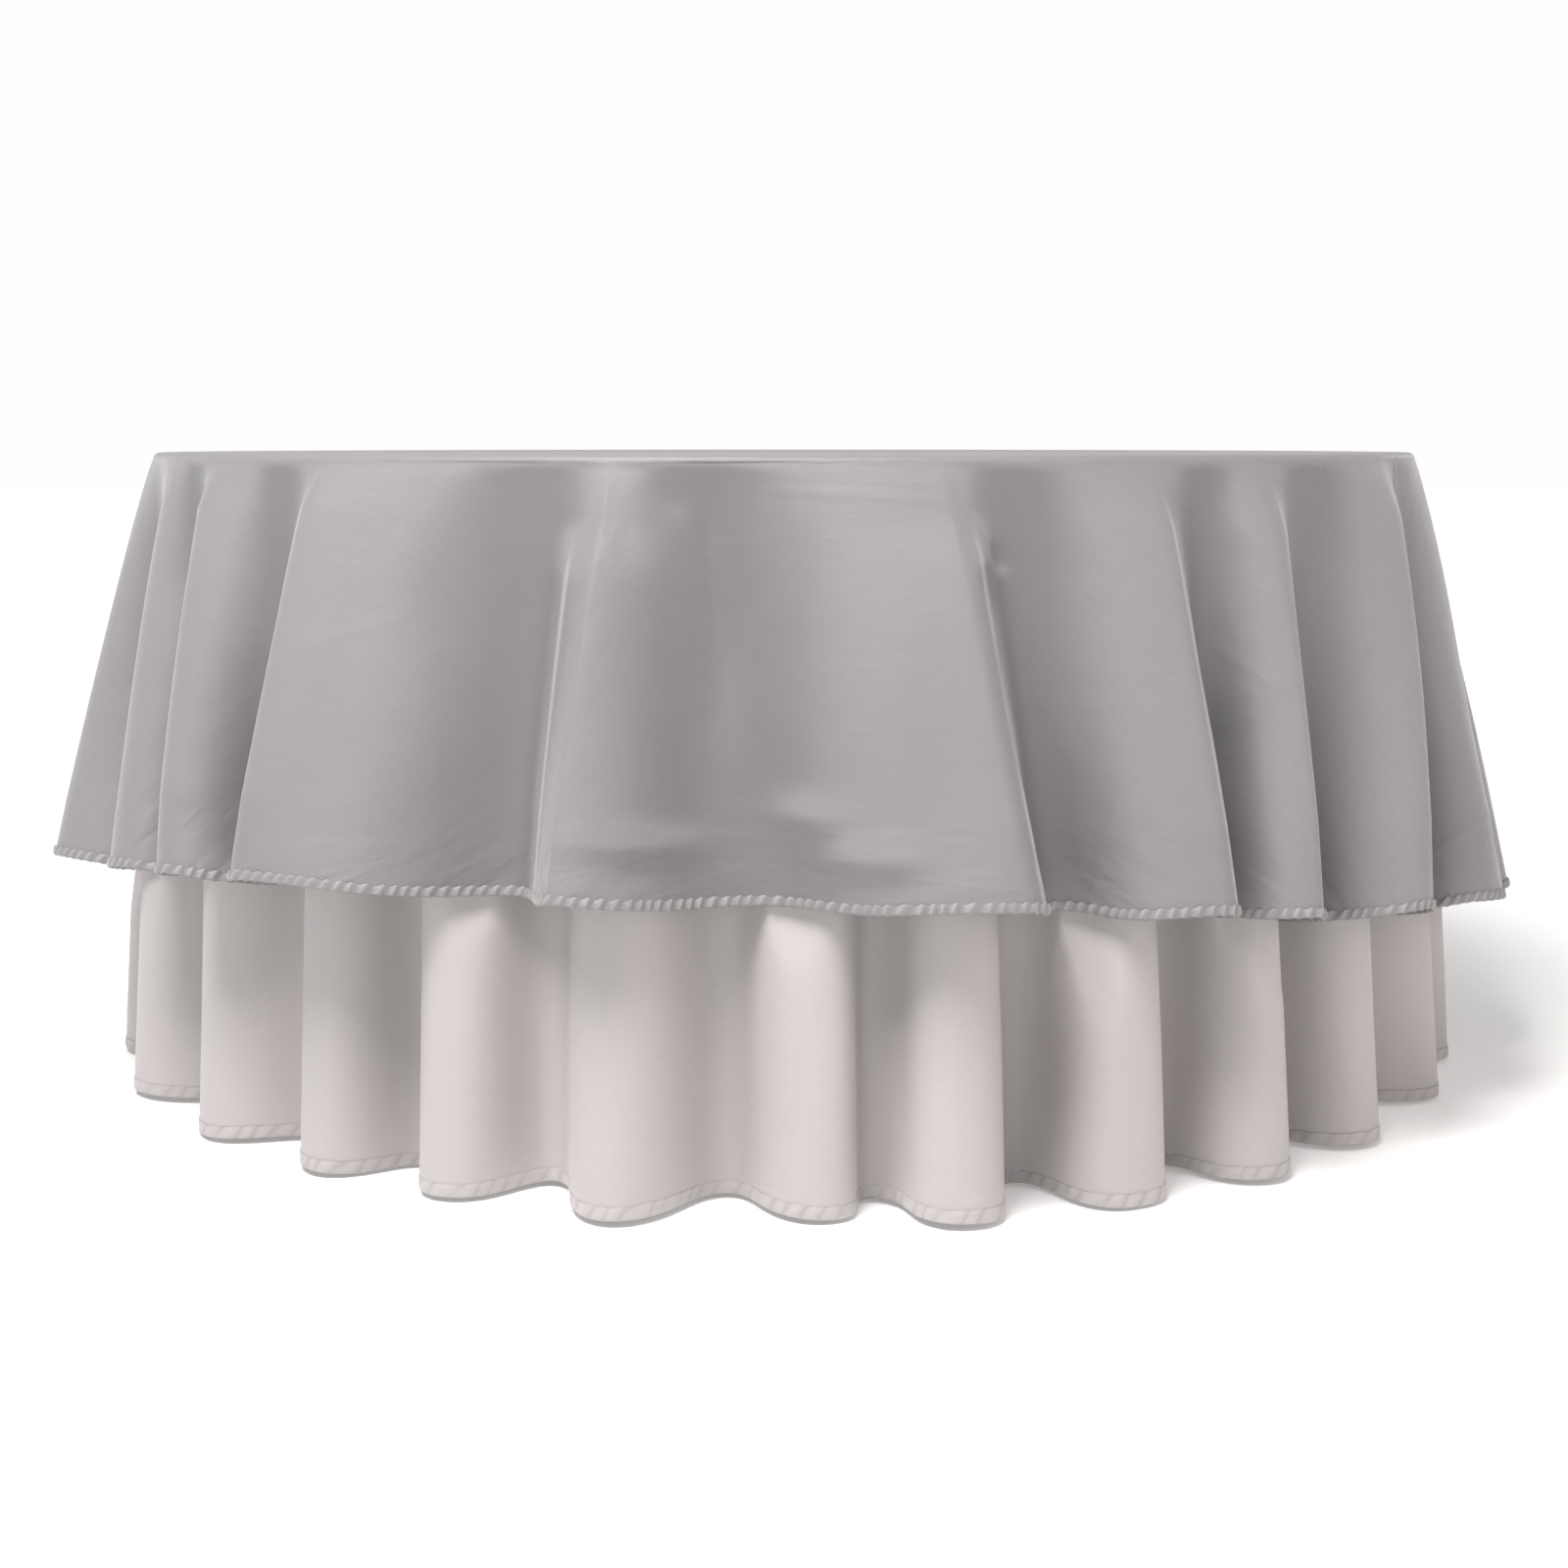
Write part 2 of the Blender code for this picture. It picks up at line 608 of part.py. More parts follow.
def cloth_mesh(name, angles, top, edge_radius, radius_at, hem_at, rows):
    """Open-bottomed shell: a flat top, a rounded edge and a fluted skirt with an inner wall."""
    bm = bmesh.new()

    def ring(radii, heights):
        return [bm.verts.new((r * sin(radians(a)), -r * cos(radians(a)), z))
                for a, r, z in zip(angles, radii, heights)]

    def heights_at(share):
        start = top - CORNER_DROP
        return [start + (hem_at(a) - start) * share for a in angles]

    count = len(angles)
    outer = [ring([edge_radius - 0.0035] * count, [top] * count)]
    inner_edge = edge_radius - SKIRT_WALL
    inner = [ring([inner_edge - 0.0006] * count, [top - CLOTH_THICKNESS] * count)]
    for share in [k / rows for k in range(rows + 1)]:
        heights = heights_at(share)
        radii = [radius_at(a, z) for a, z in zip(angles, heights)]
        outer.append(ring(radii, heights))
        inner.append(ring([r - SKIRT_WALL for r in radii], heights))
    # both walls are split along the same diagonals, so that they stay parallel where a fold twists
    for above, below in zip(outer, outer[1:]):
        for k in range(count):
            n = (k + 1) % count
            bm.faces.new((above[k], above[n], below[n]))
            bm.faces.new((above[k], below[n], below[k]))
    for above, below in zip(inner, inner[1:]):
        for k in range(count):
            n = (k + 1) % count
            bm.faces.new((above[k], below[n], above[n]))
            bm.faces.new((above[k], below[k], below[n]))
    for k in range(count):
        n = (k + 1) % count
        bm.faces.new((outer[-1][k], outer[-1][n], inner[-1][n], inner[-1][k]))
    for ends, height in ((outer[0], top), (inner[0], top - CLOTH_THICKNESS)):
        centre = bm.verts.new((0, 0, height))
        for k in range(count):
            bm.faces.new((centre, ends[k], ends[(k + 1) % count]))
    return mesh_from(name, bm)


def hem_mesh(name, angles, radius_at, hem_at, size):
    """Turned and stitched edge, a band hanging just under the cloth's skirt."""
    height, thickness = size
    bm = bmesh.new()
    rings = []
    for level, inset in ((0, 0), (height, 0), (height, thickness), (0, thickness)):
        ring = []
        for a in angles:
            z = hem_at(a) + level
            r = radius_at(a, hem_at(a) + height) - inset + (thickness - SKIRT_WALL) / 2
            ring.append(bm.verts.new((r * sin(radians(a)), -r * cos(radians(a)), z)))
        rings.append(ring)
    for one, two in zip(rings, rings[1:] + rings[:1]):
        for k in range(len(angles)):
            n = (k + 1) % len(angles)
            bm.faces.new((one[k], one[n], two[n], two[k]))
    return mesh_from(name, bm)


def make_cloth(name, mat, ridges, top, edge_radius, radius_at, hem_at, hem_size, rows):
    angles = sample_angles(ridges)

    def cloth_end(angle):
        return hem_at(angle) + hem_size[0] + GAP

    cloth = cloth_mesh(f"{name}_cloth", angles, top, edge_radius, radius_at, cloth_end, rows)
    add_object(f"{name}_cloth", cloth, mat)
    hem = hem_mesh(f"{name}_hem", angles, radius_at, hem_at, hem_size)
    add_object(f"{name}_hem", hem, mat)


def main():
    clear_scene()
    make_table_top()
    make_edge_band()
    for side, sign, drop in (("left", -1, LEFT_PIVOT_DROP), ("right", 1, RIGHT_PIVOT_DROP)):
        make_batten(side, sign, drop)
        make_brackets(side, sign, drop)
        make_leg_frame(side, sign, drop)
        make_brace(side, sign, drop)
    make_cloth("underlay", white_cloth(), UNDERLAY_RIDGES, UNDERLAY_TOP, UNDERLAY_EDGE_RADIUS,
               underlay_radius, underlay_hem_height, UNDERLAY_HEM, 5)
    make_cloth("overlay", silver_satin(), OVERLAY_RIDGES, OVERLAY_TOP, OVERLAY_EDGE_RADIUS,
               overlay_radius, overlay_hem_height, OVERLAY_HEM, 4)


main()
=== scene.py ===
from math import cos, pi, radians, sin

import bpy
import numpy as np
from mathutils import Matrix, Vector


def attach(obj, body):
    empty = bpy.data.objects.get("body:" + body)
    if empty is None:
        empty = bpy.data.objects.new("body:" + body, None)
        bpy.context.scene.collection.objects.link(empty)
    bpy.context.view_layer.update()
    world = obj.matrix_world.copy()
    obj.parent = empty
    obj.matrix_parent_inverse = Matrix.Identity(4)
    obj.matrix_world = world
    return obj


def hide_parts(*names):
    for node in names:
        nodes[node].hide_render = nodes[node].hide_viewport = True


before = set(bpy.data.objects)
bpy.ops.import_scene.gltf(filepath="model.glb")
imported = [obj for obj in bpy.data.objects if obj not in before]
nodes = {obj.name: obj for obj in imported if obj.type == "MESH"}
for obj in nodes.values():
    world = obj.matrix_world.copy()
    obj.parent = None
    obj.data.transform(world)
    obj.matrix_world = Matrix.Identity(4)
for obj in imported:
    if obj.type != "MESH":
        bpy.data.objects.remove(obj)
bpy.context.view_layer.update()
bpy.ops.object.select_all(action="DESELECT")


# ---------------------------------------------------------------------------
# The camera stands level with the table top, straight in front, and looks slightly down.
camera_data = bpy.data.cameras.new("camera")
camera_data.lens = 57.6
camera_data.shift_y = -0.1352
camera = bpy.data.objects.new("camera", camera_data)
camera.location = (0.0, -3.1746, 0.7503)
camera.rotation_euler = (radians(87), 0, 0)
bpy.context.scene.collection.objects.link(camera)
bpy.context.scene.camera = camera


# ---------------------------------------------------------------------------
# The table top: a round of 19 mm birch plywood, sanded and clear-lacquered, with two hardwood
# battens screwed under it across the leg frames.


def put(tree, kind, **settings):
    """Adds a node and sets its properties."""
    made = tree.nodes.new(kind)
    for name, value in settings.items():
        setattr(made, name, value)
    return made


def feed(tree, target, **values):
    """Sets or links a node's inputs; spaces in a socket's name are written as underscores."""
    for name, value in values.items():
        socket = target.inputs[int(name[1:])] if name[0] == "_" else target.inputs[name.replace("_", " ")]
        if isinstance(value, bpy.types.NodeSocket):
            tree.links.new(value, socket)
        else:
            socket.default_value = value
    return target


def new_group(name, inputs, outputs):
    """A shader node group with its named inputs and outputs."""
    tree = bpy.data.node_groups.new(name, "ShaderNodeTree")
    kinds = {"colour": "NodeSocketColor", "value": "NodeSocketFloat", "vector": "NodeSocketVector"}
    for title, kind, value in inputs:
        socket = tree.interface.new_socket(title, in_out="INPUT", socket_type=kinds[kind])
        if value is not None:
            socket.default_value = value
    for title, kind in outputs:
        tree.interface.new_socket(title, in_out="OUTPUT", socket_type=kinds[kind])
    return tree, put(tree, "NodeGroupInput").outputs, put(tree, "NodeGroupOutput")


def math(tree, operation, a, b=0.0, c=0.0):
    """One Math node."""
    return feed(tree, put(tree, "ShaderNodeMath", operation=operation), _0=a, _1=b, _2=c).outputs[0]


def noise(tree, where, scale, detail=2.0, roughness=0.5, distortion=0.0):
    """One Noise Texture, about 0.5 on average."""
    made = put(tree, "ShaderNodeTexNoise")
    feed(tree, made, Vector=where, Scale=scale, Detail=detail, Roughness=roughness, Distortion=distortion)
    return made.outputs["Fac"]


def stretched(tree, where, scale, turn=(0.0, 0.0, 0.0)):
    """Coordinates scaled, and turned, for a pattern with a direction."""
    made = put(tree, "ShaderNodeMapping")
    return feed(tree, made, Vector=where, Scale=scale, Rotation=turn).outputs[0]


def mixed(tree, share, a, b):
    """Mix of two colours."""
    made = put(tree, "ShaderNodeMix", data_type="RGBA")
    return feed(tree, made, _0=share, _6=a, _7=b).outputs[2]


def remapped(tree, value, low, high, to_low=0.0, to_high=1.0):
    """A value's range moved and clamped, with a smooth step."""
    made = put(tree, "ShaderNodeMapRange", interpolation_type="SMOOTHSTEP")
    return feed(tree, made, _0=value, _1=low, _2=high, _3=to_low, _4=to_high).outputs[0]


def new_finish(name, **constants):
    """A material with its Principled shader, and the coordinates that it reads."""
    made = bpy.data.materials.new(name)
    made.use_nodes = True
    tree = made.node_tree
    shader = tree.nodes["Principled BSDF"]
    feed(tree, shader, **constants)
    return made, tree, shader, put(tree, "ShaderNodeTexCoord").outputs


def finish_with(tree, shader, group, **inputs):
    """Places a group in the material and wires its colour, roughness and height."""
    placed = feed(tree, put(tree, "ShaderNodeGroup", node_tree=group), **inputs)
    bump = feed(tree, put(tree, "ShaderNodeBump"), Strength=1.0, Distance=1.0,
                Height=placed.outputs["Height"])
    feed(tree, shader, Base_Color=placed.outputs["Colour"], Roughness=placed.outputs["Roughness"],
         Normal=bump.outputs[0])


def coat(material, *names):
    """Gives CAD nodes their finish."""
    for name in names:
        for slot in nodes[name].material_slots:
            slot.material = material


def each(*patterns):
    """Node names that start with one of these words."""
    return [name for name in nodes if name.startswith(patterns)]


grain, given, result = new_group(
    "wood grain",
    [("Where", "vector", None), ("Light", "colour", (0.6, 0.45, 0.28, 1)),
     ("Dark", "colour", (0.4, 0.27, 0.14, 1)), ("Along", "value", 1.5), ("Across", "value", 22.0),
     ("Gloss", "value", 0.45)],
    [("Colour", "colour"), ("Roughness", "value"), ("Height", "value")],
)
axes = feed(grain, put(grain, "ShaderNodeCombineXYZ"), X=given["Along"], Y=given["Across"], Z=given["Across"])
lengthways = feed(grain, put(grain, "ShaderNodeVectorMath", operation="MULTIPLY"), _0=given["Where"],
                  _1=axes.outputs[0]).outputs[0]
figure = noise(grain, lengthways, 1.0, 4.0, 0.6, 0.8)
pores = noise(grain, lengthways, 9.0, 2.0, 0.7)
streak = math(grain, "MULTIPLY_ADD", pores, 0.35, math(grain, "MULTIPLY", figure, 0.75))
feed(grain, result, Colour=mixed(grain, remapped(grain, streak, 0.35, 0.75), given["Light"], given["Dark"]))
feed(grain, result, Roughness=math(grain, "MULTIPLY_ADD", streak, 0.2, given["Gloss"]))
feed(grain, result, Height=math(grain, "MULTIPLY", pores, -0.00012))

plywood, tree, shader, at = new_finish("lacquered birch plywood", Coat_Weight=0.15, Coat_Roughness=0.3)
finish_with(tree, shader, grain, Where=at["Object"], Light=(0.62, 0.46, 0.28, 1), Dark=(0.45, 0.30, 0.16, 1),
            Along=1.2, Across=16.0, Gloss=0.38)
coat(plywood, "table_top")

hardwood, tree, shader, at = new_finish("beech battens")
turned = stretched(tree, at["Object"], (1, 1, 1), (0, 0, radians(90)))
finish_with(tree, shader, grain, Where=turned, Light=(0.50, 0.31, 0.17, 1), Dark=(0.33, 0.18, 0.09, 1),
            Along=2.5, Across=34.0, Gloss=0.42)
coat(hardwood, *each("batten_"))


# ---------------------------------------------------------------------------
# The edge of the top: a brown vinyl moulding pushed into a groove round the plywood. It is
# extruded, with a slight pebbled skin, and hands and chair backs have scuffed it.

wear, given, result = new_group(
    "wear",
    [("Where", "vector", None), ("New", "colour", (0.1, 0.1, 0.1, 1)),
     ("Worn", "colour", (0.3, 0.3, 0.3, 1)), ("Scuffs", "value", 0.3), ("Gloss", "value", 0.4),
     ("Pebble", "value", 600.0), ("Relief", "value", 0.00006)],
    [("Colour", "colour"), ("Roughness", "value"), ("Height", "value")],
)
patches = noise(wear, given["Where"], 7.0, 5.0, 0.65)
scratches = noise(wear, stretched(wear, given["Where"], (180, 25, 60), (0.3, 0.2, 0.5)), 1.0, 2.0)
both = math(wear, "MULTIPLY", remapped(wear, patches, 0.45, 0.75), remapped(wear, scratches, 0.5, 0.72))
rubbed = math(wear, "MULTIPLY", both, given["Scuffs"])
pebble = noise(wear, given["Where"], given["Pebble"], 1.0)
tone = math(wear, "MULTIPLY_ADD", patches, 0.25, rubbed)
feed(wear, result, Colour=mixed(wear, tone, given["New"], given["Worn"]))
feed(wear, result, Roughness=math(wear, "MULTIPLY_ADD", patches, 0.18, math(
    wear, "MULTIPLY_ADD", rubbed, 0.3, given["Gloss"])))
feed(wear, result, Height=math(wear, "MULTIPLY_ADD", pebble, given["Relief"], math(
    wear, "MULTIPLY", rubbed, -0.0001)))

vinyl, tree, shader, at = new_finish("brown vinyl edge")
finish_with(tree, shader, wear, Where=at["Object"], New=(0.085, 0.048, 0.028, 1), Worn=(0.22, 0.15, 0.10, 1),
            Scuffs=0.5, Gloss=0.38, Pebble=900.0, Relief=0.00005)
coat(vinyl, "edge_band")


# ---------------------------------------------------------------------------
# The leg frames: two bent steel tubes with a crossbar, in dark hammered powder coat, turning in
# zinc-plated brackets screwed to the battens. Black rubber caps cover the tube ends at the floor.

paint, tree, shader, at = new_finish(
    "hammered leg paint", Metallic=0.35, Coat_Weight=0.2, Coat_Roughness=0.25)
finish_with(tree, shader, wear, Where=at["Object"], New=(0.045, 0.046, 0.05, 1), Worn=(0.16, 0.16, 0.165, 1),
            Scuffs=0.35, Gloss=0.34, Pebble=260.0, Relief=0.00025)
coat(paint, *each("leg_frame_"))

zinc, tree, shader, at = new_finish("bright zinc plate", Metallic=0.9)
finish_with(tree, shader, wear, Where=at["Object"], New=(0.55, 0.56, 0.57, 1), Worn=(0.36, 0.36, 0.36, 1),
            Scuffs=0.6, Gloss=0.26, Pebble=420.0, Relief=0.00002)
coat(zinc, *each("pivot_bracket_", "bracket_screw_", "brace_collar_"))

rubber, tree, shader, at = new_finish("black rubber caps")
finish_with(tree, shader, wear, Where=at["Object"], New=(0.022, 0.022, 0.022, 1), Worn=(0.11, 0.10, 0.09, 1),
            Scuffs=0.8, Gloss=0.62, Pebble=700.0, Relief=0.00006)
coat(rubber, *each("foot_cap_"))


# ---------------------------------------------------------------------------
# The folding braces: two zinc-plated strap links riveted at the knuckle, one pinned to a hanger
# under the top and one to a collar on the leg's crossbar. They lock each leg frame open.

coat(zinc, *each("brace_hanger_", "hanger_pin_", "hanger_screw_", "brace_upper_link_", "brace_lower_link_",
                 "knuckle_rivet_"))


# ---------------------------------------------------------------------------
# The white undercloth: a 120 in round of plain-woven white polyester laid over the bare top, so
# that it falls to the floor all round in deep, even folds. Nothing holds it but its own weight.

CLOTH_THICKNESS = 0.0009
AROUND = 800
CURVE_STEPS = 241


def fold_tables(ridge_share):
    """Width and depth of one fold of unit length, for each turn of its edge, and its outline."""
    t = np.linspace(0, 1, CURVE_STEPS)
    warped = t - ridge_share * np.sin(2 * pi * t) / (2 * pi)
    turns = np.linspace(0, 1.42, 71)
    heading = turns[:, None] * np.sin(2 * pi * warped)[None, :]
    along, inward = np.zeros_like(heading), np.zeros_like(heading)
    step = 1 / (CURVE_STEPS - 1)
    along[:, 1:] = np.cumsum((np.cos(heading[:, 1:]) + np.cos(heading[:, :-1])) / 2, axis=1) * step
    inward[:, 1:] = np.cumsum((np.sin(heading[:, 1:]) + np.sin(heading[:, :-1])) / 2, axis=1) * step
    return t, turns, along, inward


def share_between(ridges, count):
    """Cloth angle, fold number and place within the fold of each line that runs down the cloth."""
    ends = ridges[1:] + [ridges[0] + 360]
    number, place = [], []
    total = 0.0
    for k, (a, b) in enumerate(zip(ridges, ends)):
        total += b - a
        here = max(10, round(count * total / 360) - len(number))
        number += [k] * here
        place += [i / here for i in range(here)]
    return np.array(number), np.array(place)


def hang(ridges, drift, lean, reach, rise, edge, top, drop, shares, least, ridge_share):
    """Rows of points down a round cloth that hangs over a round edge in folds, keeping its length.

    ridges and drift are each ridge's place at the edge and its move by the hem, in degrees from the
    front; lean moves the next valley, at the edge and by the hem; reach is how far the ridge stands
    out at the hem, and rise how soon it gets there; least is the smallest radius of the valleys.
    ridge_share is how much broader than the valleys the ridges are, at the edge and by the hem."""
    number, place = share_between(ridges, AROUND)
    high = np.radians(ridges)
    low = high + np.radians(drift)
    reach, rise, lean = np.array(reach), np.array(rise), np.array(lean)
    middle = CURVE_STEPS // 2

    def widths(at):
        return np.append(at[1:], at[0] + 2 * pi) - at

    cloth_wide = widths(high)
    cloth_angle = high[number] + cloth_wide[number] * place
    falls = drop(cloth_angle)
    rows = []
    z = np.full(len(number), top)
    for row, share in enumerate(shares):
        flat = edge + share * falls.mean()
        t, turns, along, inward = fold_tables(ridge_share[0] + (ridge_share[1] - ridge_share[0]) * share)
        start = high + (low - high) * share
        wide = widths(start)
        left = edge + (reach - edge) * share ** rise
        right = np.roll(left, -1)
        angle, radius = np.empty(len(number)), np.empty(len(number))
        for k in range(len(ridges)):
            mine = number == k
            length = flat * cloth_wide[k]
            depth = inward[:, middle] * length
            outer = (left[k] + right[k]) / 2
            spare = (outer - depth / 2) * wide[k] - along[:, -1] * length
            turn = min(np.interp(0, spare, turns), np.interp(outer - least, depth, turns))
            a = np.array([np.interp(turn, turns, along[:, i]) for i in range(CURVE_STEPS)])
            b = np.array([np.interp(turn, turns, inward[:, i]) for i in range(CURVE_STEPS)])
            across = np.interp(place[mine], t, a) / a[-1]
            here = 4 * (lean[k][0] + (lean[k][1] - lean[k][0]) * share)
            leaning = across + here * across * (1 - across)
            angle[mine] = start[k] + wide[k] * leaning
            smooth = across * across * (3 - 2 * across)
            radius[mine] = left[k] + (right[k] - left[k]) * smooth - np.interp(place[mine], t, b) * length
        if row:
            run = falls * (share - shares[row - 1])
            sideways = (radius - rows[-1][:, 1]) ** 2 + (radius * (angle - rows[-1][:, 0])) ** 2
            z = z - np.sqrt(np.maximum(run ** 2 - sideways, (0.3 * run) ** 2))
        rows.append(np.stack([angle, radius, z], 1))
    return cloth_angle, falls, np.array(rows)


# The grey cloth's folds, which press on this cloth's upper part: degrees round from the front,
# and how far each ridge stands out from the middle at the hem.
COVER_EDGE = 0.7735
COVER_TOP = 0.7361
COVER_SHIFT = (0.026, 0.0625)
COVER_BIAS = 0.028
COVER_FALL = 0.4925
COVER_RIDGES = [-75, -61, -50.5, -35.6, -12.3, 11.0, 27.0, 38.6, 57.5, 74,
                88, 104, 120, 137, 153, 170, 186, 202, 218, 235, 251, 268]
COVER_DRIFT = [5, 6, 5.0, -1.0, -2.1, 3.6, 1.6, -2.2, -8.6, -10,
               -7, 0, 2, -2, 1, 0, -2, 2, 0, -2, 1, 3]
COVER_LEAN = [(0, 0), (0, 0), (0.06, 0), (0.22, 0.24), (-0.24, -0.08), (-0.17, -0.12), (0.03, 0),
              (-0.12, -0.12), (-0.1, -0.1)] + [(0, 0)] * 13
COVER_REACH = [0.893, 0.878, 0.888, 0.893, 0.888, 0.890, 0.887, 0.887, 0.890, 0.893,
               0.895, 0.900, 0.890, 0.895, 0.890, 0.895, 0.895, 0.890, 0.900, 0.895, 0.890, 0.900]
COVER_RISE = [0.9, 0.85, 0.8, 0.75, 0.85, 0.85, 0.85, 0.85, 0.85, 0.9] + [0.85] * 12
COVER_SHARES = np.concatenate([np.linspace(0, 0.16, 9)[:-1], np.linspace(0.16, 1, 35)])


def cover_drop(angle):
    """Length of cloth from the table's edge to the hem, off centre and longer on its bias."""
    off_centre = COVER_SHIFT[0] * np.sin(angle) - COVER_SHIFT[1] * np.cos(angle)
    return COVER_FALL + off_centre + COVER_BIAS * np.sin(angle) ** 4


cover_angle, cover_falls, cover_rows = hang(
    COVER_RIDGES, COVER_DRIFT, COVER_LEAN, COVER_REACH, COVER_RISE, COVER_EDGE, COVER_TOP - 0.008,
    cover_drop, COVER_SHARES, least=0.7725, ridge_share=(0.0, 0.4))
def waves(angle, z, seed, count, lowest, highest):
    """A sum of slow waves over a cloth's skirt, between about -1 and 1, the same on every run."""
    made = np.random.default_rng(seed)
    total = np.zeros(np.shape(angle))
    for _ in range(count):
        across = made.integers(lowest, highest)
        total = total + np.sin(across * angle + made.uniform(-9, 9) * z + made.uniform(0, 2 * pi))
    return total / np.sqrt(count)


# Where a fold turns back on itself its rim is sharper on one side: its place at the edge and at the
# hem in degrees, the side that it falls away on, how far it stands out, and where it starts and ends.
RIM_OUTER_SIDE, RIM_INNER_SIDE = 1.1, 4.5
COVER_RIMS = [
    (-52.3, -46.8, -1, 0.009, 0.02, 1.3),
    (-37.2, -38.2, -1, 0.012, 0.01, 1.3),
    (-14.4, -17.8, -1, 0.010, 0.15, 1.3),
    (12.8, 16.5, 1, 0.010, 0.12, 1.3),
    (28.4, 29.9, 1, 0.009, 0.05, 1.3),
    (40.2, 37.8, 1, 0.008, 0.05, 1.3),
    (60.0, 50.2, 1, 0.009, 0.03, 1.3),
]
# Small dents and pinches: degrees from the front, part of the drop, size each way, and how far out.
COVER_PINCHES = [
    (13.9, 0.20, 0.9, 0.022, 0.006), (15.6, 0.215, 0.8, 0.018, -0.005), (14.6, 0.245, 1.6, 0.014, 0.004),
    (-7.2, 0.07, 1.5, 0.05, -0.003), (-5.4, 0.14, 1.1, 0.07, -0.004), (-4.4, 0.33, 2.0, 0.28, -0.009),
    (-27.0, 0.40, 2.4, 0.26, -0.005), (-22.5, 0.55, 1.8, 0.3, 0.004),
    (1.5, 0.80, 2.6, 0.045, 0.005), (5.0, 0.88, 3.0, 0.035, 0.005), (-9.0, 0.86, 4.0, 0.03, 0.004),
]
COVER_WAVE, UNDER_WAVE = 0.0020, 0.0022
for share, row in zip(COVER_SHARES, cover_rows):
    for at_edge, at_hem, side, height, first, last in COVER_RIMS:
        off = (np.degrees(row[:, 0]) - at_edge - (at_hem - at_edge) * share) * side
        strength = np.clip((share - first) / 0.10, 0, 1) * np.clip((last - share) / 0.5, 0, 1)
        wide = np.where(off > 0, RIM_OUTER_SIDE, RIM_INNER_SIDE)
        row[:, 1] += height * strength * np.exp(-((off / wide) ** 2))
    for at, down, wide, tall, height in COVER_PINCHES:
        dent = np.exp(-(((np.degrees(row[:, 0]) - at) / wide) ** 2) - ((share - down) / tall) ** 2)
        row[:, 1] += height * dent * min(share / 0.05, 1)
    hanging = np.clip((COVER_TOP - row[:, 2]) * 3, 0, 1)
    row[:, 1] += COVER_WAVE * waves(row[:, 0], row[:, 2], 2, 9, 9, 50) * hanging

UNDER_EDGE = 0.7655
UNDER_TOP = 0.7338
UNDER_FALL = 0.7585
# The undercloth's folds, told in the same way.
UNDER_RIDGES = [-82, -66, -50.5, -36.5, -25, -11.8, 2.4, 11.6, 24.7, 36.5, 49, 65, 78,
                91, 104, 118, 132, 146, 160, 175, 189, 204, 218, 233, 248, 263]
UNDER_REACH = [0.82, 0.815, 0.81, 0.81, 0.81, 0.835, 0.81, 0.85, 0.84, 0.84, 0.83, 0.82, 0.82,
               0.83, 0.82, 0.84, 0.82, 0.83, 0.85, 0.82, 0.83, 0.82, 0.84, 0.82, 0.83, 0.82]
UNDER_SHARES = np.concatenate([np.linspace(0, 0.1, 5)[:-1], np.linspace(0.1, 1, 39)])


def under_drop(angle):
    """The undercloth is centred, so it falls the same length all round."""
    return np.full(np.shape(angle), UNDER_FALL)


under_angle, under_falls, under_rows = hang(
    UNDER_RIDGES, [0] * 26, [(0, 0)] * 26, UNDER_REACH, [0.6] * 26, UNDER_EDGE, UNDER_TOP - 0.006,
    under_drop, UNDER_SHARES, least=0.725, ridge_share=(0.2, 0.35))


CLEARANCE = 0.004
OPENS_OUT = 0.45
ROUNDED = 0.006


def cover_inside(angle, z):
    """Radius just inside the grey cloth near this angle and height; it opens out below its hem."""
    limit = np.full(len(angle), 9.0)
    for aside in np.radians([-1.0, -0.5, 0.0, 0.5, 1.0]):
        radii, heights = [], []
        for row in cover_rows:
            turned_by = np.mod(angle + aside - row[0, 0], 2 * pi) + row[0, 0]
            loop = np.append(row[:, 0], row[0, 0] + 2 * pi)
            radii.append(np.interp(turned_by, loop, np.append(row[:, 1], row[0, 1])))
            heights.append(np.interp(turned_by, loop, np.append(row[:, 2], row[0, 2])))
        radii, heights = np.array(radii), np.array(heights)
        for k in range(len(angle)):
            below_hem = max(heights[-1, k] - z[k] - 0.012, 0)
            here = np.interp(-z[k], -heights[:, k], radii[:, k]) + below_hem * OPENS_OUT
            limit[k] = min(limit[k], here)
    return limit - CLEARANCE


def smaller(a, b, blend):
    """The smaller of two lengths, rounded where they meet."""
    share = np.clip(0.5 + 0.5 * (b - a) / blend, 0, 1)
    return b + (a - b) * share - blend * share * (1 - share)


# The cloth settles: each column of cloth ends just above the floor.
UNDER_HANG = UNDER_TOP - 0.006
FLOOR_GAP = 0.004
for row in under_rows:
    hanging = np.clip((0.72 - row[:, 2]) * 4, 0, 1)
    row[:, 1] += UNDER_WAVE * waves(row[:, 0], row[:, 2], 5, 9, 9, 60) * hanging
lowest = under_rows[-1][:, 2]
ends = FLOOR_GAP + 0.0015 * (1 + waves(under_rows[-1][:, 0], 0 * lowest, 8, 6, 5, 40))
drawn_down = (UNDER_HANG - ends) / (UNDER_HANG - lowest)
under_rows[:, :, 2] = UNDER_HANG - (UNDER_HANG - under_rows[:, :, 2]) * drawn_down
for row in under_rows:
    row[:, 1] = smaller(row[:, 1], cover_inside(row[:, 0], row[:, 2]), ROUNDED)


def keep_value(mesh, name, values):
    """Keeps one value for each point, for the materials."""
    mesh.attributes.new(name, "FLOAT", "POINT").data.foreach_set("value", values.astype(np.float32))


